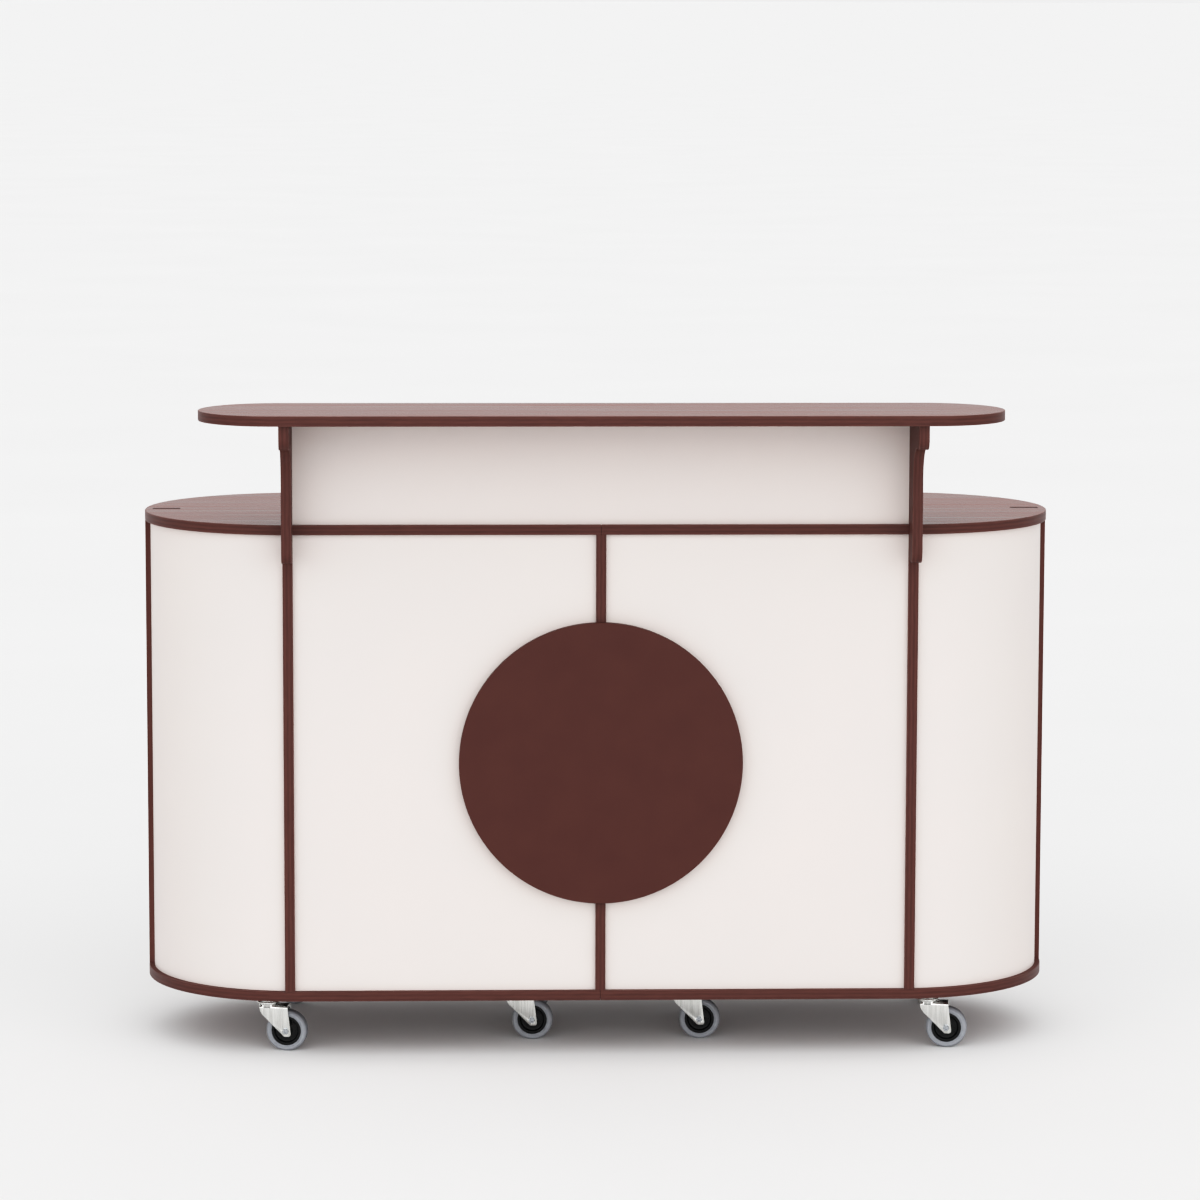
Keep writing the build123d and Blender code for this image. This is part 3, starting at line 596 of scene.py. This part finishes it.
def grey_rubber():
    """Moulded non-marking rubber: matte grey with a pale bloom, and a tread that the floor darkens."""
    look = bpy.context.scene.counter_finishes
    size = bpy.context.scene.counter_casters
    made, tree, shader, spot, shade = clouded(
        "moulded_grey_rubber",
        look.rubber,
        look.rubber_dusty,
        broad=12,
        fine=1.2,
        relief=0.08,
        Roughness=0.72,
        IOR=1.52,
    )
    tread = size.wheel_diameter / 2
    # How far a place is from the axle, which lies along Y
    level = add(
        tree, "ShaderNodeVectorMath", {0: spot.outputs["Object"], 1: (1, 0, 1)}, operation="MULTIPLY"
    )
    radius = add(tree, "ShaderNodeVectorMath", {0: level.outputs[0]}, operation="LENGTH")
    # The floor darkens the tread alone, with a soft border on the shoulders
    rolled = add(
        tree,
        "ShaderNodeMapRange",
        {
            "Value": radius.outputs["Value"],
            "From Min": tread - 0.0016,
            "From Max": tread - 0.0002,
            "To Max": 0.85,
        },
    )
    worn = add(
        tree,
        "ShaderNodeMix",
        {FACTOR: rolled.outputs[0], FIRST: shade.outputs[MIXED], SECOND: rgba(look.tread)},
        data_type="RGBA",
    )
    tree.links.new(worn.outputs[MIXED], shader.inputs["Base Color"])
    return made


def studio_paper():
    """Seamless studio paper: matte and nearly white."""
    look = bpy.context.scene.counter_finishes
    return clouded(
        "studio_paper",
        look.floor,
        look.floor_scuffed,
        broad=1200,
        fine=4,
        relief=0.02,
        Roughness=0.85,
        Specular_IOR_Level=0.2,
    )[0]


def coat(node, finish):
    """Give a CAD node one material."""
    NODES[node].data.materials.clear()
    NODES[node].data.materials.append(finish)


def rounded(corners, steps=4):
    """Points of a closed outline whose corners are given as (x, y, radius)."""
    points = []
    for number, (x, y, radius) in enumerate(corners):
        spot = Vector((x, y))
        if not radius:
            points.append(spot)
            continue
        back = (Vector(corners[number - 1][:2]) - spot).normalized()
        on = (Vector(corners[(number + 1) % len(corners)][:2]) - spot).normalized()
        half = back.angle(on) / 2
        middle = spot + (back + on).normalized() * radius / math.sin(half)
        first = (spot + back * radius / math.tan(half) - middle).normalized()
        last = (spot + on * radius / math.tan(half) - middle).normalized()
        points += [middle + radius * first.slerp(last, step / steps) for step in range(steps + 1)]
    return points


def turned(shape, outline, axis, steps, middle=Vector()):
    """Turn a closed outline of (radius, offset) about an axis through the middle.

    A radius can be a function of the angle.
    """
    rings = []
    for step in range(steps):
        angle = math.tau * step / steps
        if axis == "Z":
            out = Vector((math.cos(angle), math.sin(angle), 0))
        else:
            out = Vector((math.cos(angle), 0, math.sin(angle)))
        ring = []
        for radius, offset in outline:
            reach = radius(angle) if callable(radius) else radius
            ring.append(shape.verts.new(middle + out * reach + AXES[axis] * offset))
        rings.append(ring)
    for ring, after in zip(rings, rings[1:] + rings[:1]):
        for number in range(len(outline)):
            shape.faces.new((ring[number - 1], ring[number], after[number], after[number - 1]))
    bmesh.ops.remove_doubles(shape, verts=shape.verts, dist=WELD)
    bmesh.ops.recalc_face_normals(shape, faces=shape.faces)


def cross(reach):
    """Outline of a cross recess, as a function of the angle."""
    half_arm = 0.3 * reach

    def radius(angle):
        off = (angle + math.pi / 4) % (math.pi / 2) - math.pi / 4
        return min(reach / math.cos(off), half_arm / max(abs(math.sin(off)), 0.01))

    return radius


def hexagon(flats):
    """Outline of a hexagon, as a function of the angle."""

    def radius(angle):
        return flats / 2 / math.cos(angle % (math.pi / 3) - math.pi / 6)

    return radius


def piece(name, shape, finish, body, stand=None, replaced=()):
    """Make a finished shape a piece that rides on a body and stands for CAD nodes."""
    mesh = bpy.data.meshes.new(name)
    shape.to_mesh(mesh)
    shape.free()
    mesh.shade_smooth()
    mesh.set_sharp_from_angle(angle=SHARP)
    mesh.materials.append(finish)
    made = bpy.data.objects.new(name, mesh)
    bpy.context.scene.collection.objects.link(made)
    if stand is not None:
        made.matrix_world = stand
    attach(made, body)
    if replaced:
        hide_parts(*replaced)
    return made


def welded(node):
    """A CAD node's shape with its faces joined up."""
    shape = bmesh.new()
    shape.from_mesh(NODES[node].data)
    bmesh.ops.remove_doubles(shape, verts=shape.verts, dist=WELD)
    return shape


def eased(node, ease, kept=(0, 0)):
    """A CAD node's shape with its flats joined and its sharp edges rounded.

    Edges whose middles lie between the two kept levels stay sharp.
    """
    shape = welded(node)
    bmesh.ops.dissolve_limit(shape, angle_limit=FLAT, verts=shape.verts, edges=shape.edges)
    low, high = kept
    sharp = []
    for edge in shape.edges:
        level = (edge.verts[0].co.z + edge.verts[1].co.z) / 2
        if edge.is_manifold and edge.calc_face_angle() > SHARP and not low < level < high:
            sharp.append(edge)
    bmesh.ops.bevel(
        shape, geom=sharp, offset=ease, segments=2, affect="EDGES", profile=0.5, clamp_overlap=False
    )
    bmesh.ops.dissolve_degenerate(shape, dist=SLIVER, edges=shape.edges)
    return shape


def solids(node):
    """Lowest and highest corner of each separate solid of a CAD node, sorted by place."""
    shape = welded(node)
    left = set(shape.verts)
    boxes = []
    while left:
        found = {left.pop()}
        border = set(found)
        while border:
            border = {edge.other_vert(vert) for vert in border for edge in vert.link_edges} - found
            found |= border
        left -= found
        spots = [vert.co.copy() for vert in found]
        boxes.append([Vector(pick(spot[axis] for spot in spots) for axis in range(3)) for pick in (min, max)])
    shape.free()
    return sorted(boxes, key=lambda box: box[0][:])


def swivel_stand(place):
    """A caster's own frame: its swivel's axis on the floor, with X along its trail."""
    swivel = Vector(JOINTS[f"swivel_{place}"]["pos_m"])
    axle = Vector(JOINTS[f"roll_{place}"]["pos_m"])
    trail = axle - swivel
    turn = math.atan2(trail.y, trail.x)
    return Matrix.Translation((swivel.x, swivel.y, 0)) @ Matrix.Rotation(turn, 4, "Z")


def wheel_stand(place):
    """A wheel's own frame: the middle of its axle, with Y along the axle."""
    axle = Vector(JOINTS[f"roll_{place}"]["pos_m"])
    return Matrix.Translation(axle) @ swivel_stand(place).to_3x3().to_4x4()


class COUNTER_OT_boards(Operator):
    """Stain the plywood boards"""

    bl_idname = "counter.boards"
    bl_label = "Plywood Boards"

    def execute(self, context):
        for (thickness, grain, lacquered), names in BOARDS.items():
            finish = stained_plywood(thickness, grain, lacquered)
            for name in names:
                coat(name, finish)
        return {"FINISHED"}


class COUNTER_OT_panels(Operator):
    """Lacquer the thin panels"""

    bl_idname = "counter.panels"
    bl_label = "White Panels"

    def execute(self, context):
        finish = white_lacquer()
        for name in PANELS:
            coat(name, finish)
        return {"FINISHED"}


class COUNTER_OT_sign_board(Operator):
    """Paint the round sign board"""

    bl_idname = "counter.sign_board"
    bl_label = "Sign Board"

    def execute(self, context):
        coat("sign_board", sign_paint())
        return {"FINISHED"}


class COUNTER_OT_dowels(Operator):
    """Leave the dowels' wood bare"""

    bl_idname = "counter.dowels"
    bl_label = "Dowels"

    def execute(self, context):
        coat("dowels", beech_wood())
        return {"FINISHED"}


class COUNTER_OT_screws(Operator):
    """Make the wood screws, with domed heads and cross recesses"""

    bl_idname = "counter.screws"
    bl_label = "Wood Screws"

    def execute(self, context):
        finish = headed_zinc()
        size = context.scene.counter_casters
        shape = bmesh.new()
        for low, high in solids("wood_screws"):
            self.screw(shape, size, low, high)
        piece("pan_head_screws", shape, finish, "counter", replaced=["wood_screws"])
        return {"FINISHED"}

    def screw(self, shape, size, low, high):
        middle = (low + high) / 2
        head = (high.x - low.x) / 2
        shank = head * 0.53
        end = low.z
        seat = end + size.screw_head
        bottom = end + size.recess
        outline = [(0, high.z), (shank, high.z - size.screw_point), (shank, seat)]
        # Domed head
        outline += [(head, seat), (head, seat - 0.0008), (head * 0.86, end + 0.0006)]
        outline += [(head * 0.6, end + 0.0001), (head * 0.56, end)]
        # Cross recess, narrower at its bottom
        outline += [(cross(head * 0.5), end), (cross(head * 0.3), bottom), (0, bottom)]
        turned(shape, [(radius, level - middle.z) for radius, level in outline], "Z", SCREW_STEPS, middle)


class COUNTER_OT_caster_plates(Operator):
    """Round the pressed edges of the casters' plates and kingpins"""

    bl_idname = "counter.caster_plates"
    bl_label = "Caster Plates"

    def execute(self, context):
        size = context.scene.counter_casters
        for node, name, finish in (
            ("caster_plates", "pressed_caster_plates", drawn_zinc()),
            ("kingpins", "riveted_kingpins", headed_zinc()),
        ):
            piece(name, eased(node, size.edge_radius), finish, "counter", replaced=[node])
        return {"FINISHED"}


class COUNTER_OT_race_covers(Operator):
    """Roll the round covers that keep dust out of the swivels' ball races"""

    bl_idname = "counter.race_covers"
    bl_label = "Race Covers"

    def execute(self, context):
        size = context.scene.counter_casters
        bore = size.cover_bore / 2
        bulge = size.cover_diameter / 2
        high = size.cover_height
        # Rolled lower edge, bulge and upper edge, with the rounding of each corner
        corners = [(bore, 0, 0), (bore + 0.0017, 0, 0.0008), (bulge, 0.45 * high, 0.0025)]
        corners += [(bore + 0.0015, high, 0.0012), (bore, high, 0)]
        outline = rounded(corners)
        shape = bmesh.new()
        for place in PLACES:
            swivel = Vector(JOINTS[f"swivel_{place}"]["pos_m"])
            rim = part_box(f"fork_{place}")[1][2]
            turned(shape, outline, "Z", size.steps, Vector((swivel.x, swivel.y, rim - size.cover_lap)))
        piece("rolled_race_covers", shape, drawn_zinc(), "counter")
        return {"FINISHED"}


class COUNTER_OT_forks(Operator):
    """Round the edges of the casters' pressed forks"""

    bl_idname = "counter.forks"
    bl_label = "Caster Forks"

    def execute(self, context):
        size = context.scene.counter_casters
        ease = size.edge_radius
        finish = drawn_zinc()
        for place in PLACES:
            body = f"caster_{place}"
            node = f"fork_{place}"
            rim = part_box(node)[1][2]
            # Where the round cup comes out of the legs, its edges are too close together to round
            cup = (rim - size.cup_height - ease, rim - ease)
            piece(f"pressed_{node}", eased(node, ease, cup), finish, body, replaced=[node])
        return {"FINISHED"}


class COUNTER_OT_axles(Operator):
    """Make the axle bolts with their nuts"""

    bl_idname = "counter.axles"
    bl_label = "Axle Bolts"

    def execute(self, context):
        size = context.scene.counter_casters
        finish = headed_zinc()
        for place in PLACES:
            shape = bmesh.new()
            self.bolt(shape, size)
            body = f"caster_{place}"
            node = f"axle_{place}"
            piece(f"bolt_and_nut_{place}", shape, finish, body, wheel_stand(place), replaced=[node])
        return {"FINISHED"}

    def bolt(self, shape, size):
        outside = size.fork_width / 2
        shank = size.axle_diameter / 2
        across = size.axle_flats / 2
        flats = hexagon(size.axle_flats)
        ease = 0.0005
        # Shank, from the head to the end of its thread
        far = outside + size.nut_height + size.thread_end
        rod = [(0, -outside), (shank, -outside), (shank, far - ease), (shank - ease, far), (0, far)]
        # Head, with a dimple in its middle and a round chamfer over the flats
        top = -outside - size.head_height
        dimple = size.dimple / 2
        head = [(0, top + dimple / 2), (dimple * 0.8, top + dimple / 2), (dimple, top), (across * 0.94, top)]
        head += [(across, top + ease), (flats, top + 2 * ease), (flats, -outside), (0, -outside)]
        # Nut, with a round nylon collar at its end
        collar = outside + size.nut_height * 0.72
        end = outside + size.nut_height
        nut = [(shank, outside), (flats, outside), (flats, collar - ease), (across, collar)]
        nut += [(across * 0.96, collar), (across * 0.96, end - 2 * ease), (across * 0.8, end), (shank, end)]
        for outline in (rod, head, nut):
            turned(shape, outline, "Y", BOLT_STEPS)


class COUNTER_OT_hubs(Operator):
    """Make the dished nylon hubs"""

    bl_idname = "counter.hubs"
    bl_label = "Wheel Hubs"

    def execute(self, context):
        size = context.scene.counter_casters
        finish = moulded_nylon()
        rim = size.hub_diameter / 2
        half = size.hub_width / 2
        boss = size.hub_boss / 2
        bore = size.axle_bore / 2
        end = size.boss_width / 2
        lip = rim - size.hub_lip
        web = size.hub_web
        # Boss, dished web and rim, with the rounding of each corner
        side = [
            (bore, end, 0.0004),
            (boss, end, 0.001),
            (boss + 0.0012, web, 0.0018),
            (lip - 0.002, web, 0.0018),
            (lip, half, 0.0009),
            (rim, half, 0.0005),
        ]
        outline = rounded(side + [(radius, -level, ease) for radius, level, ease in reversed(side)])
        for place in PLACES:
            shape = bmesh.new()
            turned(shape, outline, "Y", size.steps)
            body = f"wheel_{place}"
            node = f"hub_{place}"
            piece(f"dished_{node}", shape, finish, body, wheel_stand(place), replaced=[node])
        return {"FINISHED"}


class COUNTER_OT_tyres(Operator):
    """Make the rubber tyres"""

    bl_idname = "counter.tyres"
    bl_label = "Tyres"

    def execute(self, context):
        size = context.scene.counter_casters
        finish = grey_rubber()
        tread = size.wheel_diameter / 2
        half = size.tyre_width / 2
        bore = size.tyre_bore / 2
        groove = half - size.tyre_groove
        shoulder = half - size.tyre_shoulder
        # Bead, groove, side wall, shoulder and crowned tread, with the rounding of each corner
        side = [
            (bore, groove, 0.0006),
            (bore + 0.0018, half - 0.0004, 0.0004),
            (bore + 0.0024, groove, 0.0003),
            (bore + 0.0032, half - 0.0003, 0.0006),
            (tread - 0.0038, half, 0.002),
            (tread - 0.0004, shoulder, 0.003),
            (tread, 0.0008, 0),
        ]
        outline = rounded(side + [(radius, -level, ease) for radius, level, ease in reversed(side)])
        for place in PLACES:
            shape = bmesh.new()
            turned(shape, outline, "Y", size.steps)
            body = f"wheel_{place}"
            node = f"tyre_{place}"
            piece(f"moulded_{node}", shape, finish, body, wheel_stand(place), replaced=[node])
        return {"FINISHED"}


class COUNTER_OT_studio(Operator):
    """Lay the floor, light the studio and set up the camera"""

    bl_idname = "counter.studio"
    bl_label = "Studio"

    def execute(self, context):
        studio = context.scene.counter_studio
        self.floor(context, studio)
        self.light(context, studio)
        self.tone(context)
        self.camera(context, studio)
        return {"FINISHED"}

    def floor(self, context, studio):
        shape = bmesh.new()
        bmesh.ops.create_circle(shape, cap_ends=True, segments=96, radius=studio.floor_radius)
        mesh = bpy.data.meshes.new("studio_floor")
        shape.to_mesh(mesh)
        shape.free()
        mesh.materials.append(studio_paper())
        floor = bpy.data.objects.new("studio_floor", mesh)
        context.scene.collection.objects.link(floor)

    def light(self, context, studio):
        world = bpy.data.worlds.new("soft_studio")
        world.use_nodes = True
        context.scene.world = world
        tree = world.node_tree
        sky = add(tree, "ShaderNodeTexCoord")
        way = add(tree, "ShaderNodeSeparateXYZ", {0: sky.outputs["Generated"]})
        ahead = add(tree, "ShaderNodeMapRange", {"Value": way.outputs["Y"], "From Max": -1})
        front = add(tree, "ShaderNodeMath", {0: ahead.outputs[0], 1: studio.front_fade}, operation="POWER")
        upward = add(tree, "ShaderNodeMapRange", {"Value": way.outputs["Z"]})
        above = add(tree, "ShaderNodeMath", {0: upward.outputs[0], 1: 2}, operation="POWER")
        # The walls are lit low down and fade out as they rise
        walls = add(
            tree,
            "ShaderNodeMapRange",
            {"Value": way.outputs["Z"], "From Min": 0.12, "From Max": 0.55, "To Min": 1, "To Max": 0},
            interpolation_type="SMOOTHSTEP",
        )
        strength = add(tree, "ShaderNodeValue")
        strength.outputs[0].default_value = studio.fill
        for lit, power in ((front, studio.front), (above, studio.top), (walls, studio.walls)):
            strength = add(
                tree,
                "ShaderNodeMath",
                {0: lit.outputs[0], 1: power, 2: strength.outputs[0]},
                operation="MULTIPLY_ADD",
            )
        backdrop = tree.nodes["Background"]
        backdrop.inputs["Color"].default_value = (1, 1, 1, 1)
        tree.links.new(strength.outputs[0], backdrop.inputs["Strength"])

    def tone(self, context):
        # The tone curve of a camera: middle tones lifted, darks and whites kept
        view = context.scene.view_settings
        view.view_transform = "Standard"
        view.use_curve_mapping = True
        # The first three curves are for red, green and blue alone
        curve = view.curve_mapping.curves[3]
        for level, shown in TONES:
            curve.points.new(level, shown)
        view.curve_mapping.update()

    def camera(self, context, studio):
        lens = bpy.data.cameras.new("studio_camera")
        lens.sensor_width = studio.sensor
        lens.lens = studio.lens
        lens.clip_end = 2 * studio.floor_radius
        camera = bpy.data.objects.new("studio_camera", lens)
        context.scene.collection.objects.link(camera)
        aim = Euler((math.pi / 2 - studio.pitch, 0, -studio.yaw), "XYZ").to_matrix()
        aim = aim @ Matrix.Rotation(studio.roll, 3, "Z")
        camera.matrix_world = Matrix.Translation(studio.camera_place) @ aim.to_4x4()
        context.scene.camera = camera


OPERATORS = (
    COUNTER_OT_boards,
    COUNTER_OT_panels,
    COUNTER_OT_sign_board,
    COUNTER_OT_dowels,
    COUNTER_OT_screws,
    COUNTER_OT_caster_plates,
    COUNTER_OT_race_covers,
    COUNTER_OT_forks,
    COUNTER_OT_axles,
    COUNTER_OT_hubs,
    COUNTER_OT_tyres,
    COUNTER_OT_studio,
)


class COUNTER_PT_steps(Panel):
    """Steps that finish the counter"""

    bl_idname = "COUNTER_PT_steps"
    bl_label = "Oval Bar Counter"
    bl_space_type = "VIEW_3D"
    bl_region_type = "UI"
    bl_category = "Counter"

    def draw(self, context):
        for operator in OPERATORS:
            self.layout.operator(operator.bl_idname)


GROUPS = {
    "counter_finishes": CounterFinishes,
    "counter_casters": CounterCasters,
    "counter_studio": CounterStudio,
}


def register():
    for group in (*GROUPS.values(), *OPERATORS, COUNTER_PT_steps):
        bpy.utils.register_class(group)
    for name, group in GROUPS.items():
        setattr(bpy.types.Scene, name, PointerProperty(type=group))


def unregister():
    for name in GROUPS:
        delattr(bpy.types.Scene, name)
    for group in reversed((*GROUPS.values(), *OPERATORS, COUNTER_PT_steps)):
        bpy.utils.unregister_class(group)


def main():
    register()
    for operator in OPERATORS:
        family, step = operator.bl_idname.split(".")
        getattr(getattr(bpy.ops, family), step)()


if __name__ == "__main__":
    main()
